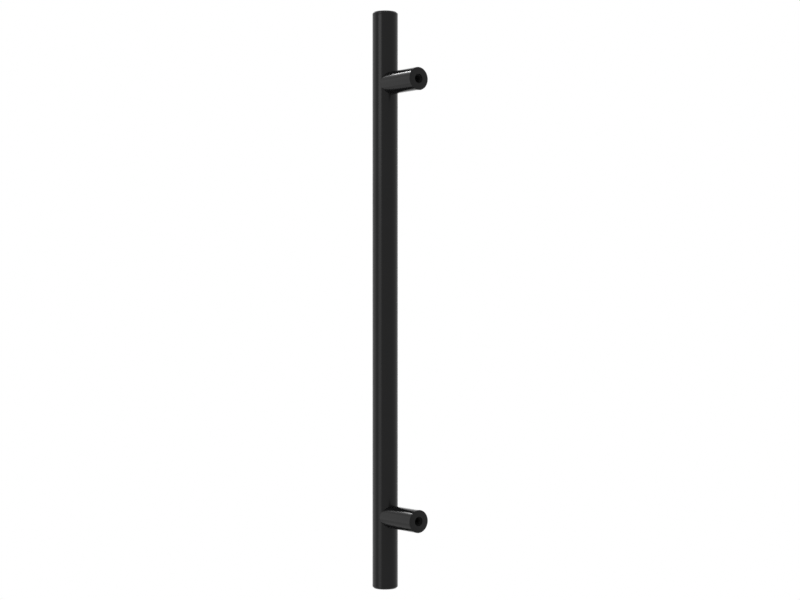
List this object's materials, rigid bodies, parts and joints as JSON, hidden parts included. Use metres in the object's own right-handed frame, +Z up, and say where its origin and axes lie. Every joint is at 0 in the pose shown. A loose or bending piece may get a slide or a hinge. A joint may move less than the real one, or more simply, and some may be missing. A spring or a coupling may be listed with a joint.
{
  "type": "cabinet handle",
  "caption": "Straight round bar handle on short round posts that seat on the bar with saddles, with tapped holes in the post ends for screws through a cabinet door or drawer front.",
  "frame": {"origin": "midpoint between the axes of the fixing holes, on the plane of the post ends that stands on the door", "axes": "+Z up along the bar, +Y out of the post ends into the door, -Y towards the hand"},
  "size_m": [0.0114, 0.0302, 0.256],
  "materials": {
    "black_coating": "satin black powder coat on steel",
    "plain_steel": "plain bright steel"
  },
  "bodies": {
    "root": {"bar_tube": "black_coating", "upper_end_cap": "black_coating", "lower_end_cap": "black_coating", "upper_post": "black_coating", "lower_post": "black_coating", "upper_stud": "plain_steel", "lower_stud": "plain_steel", "upper_insert": "plain_steel", "lower_insert": "plain_steel"}
  },
  "joints": []
}
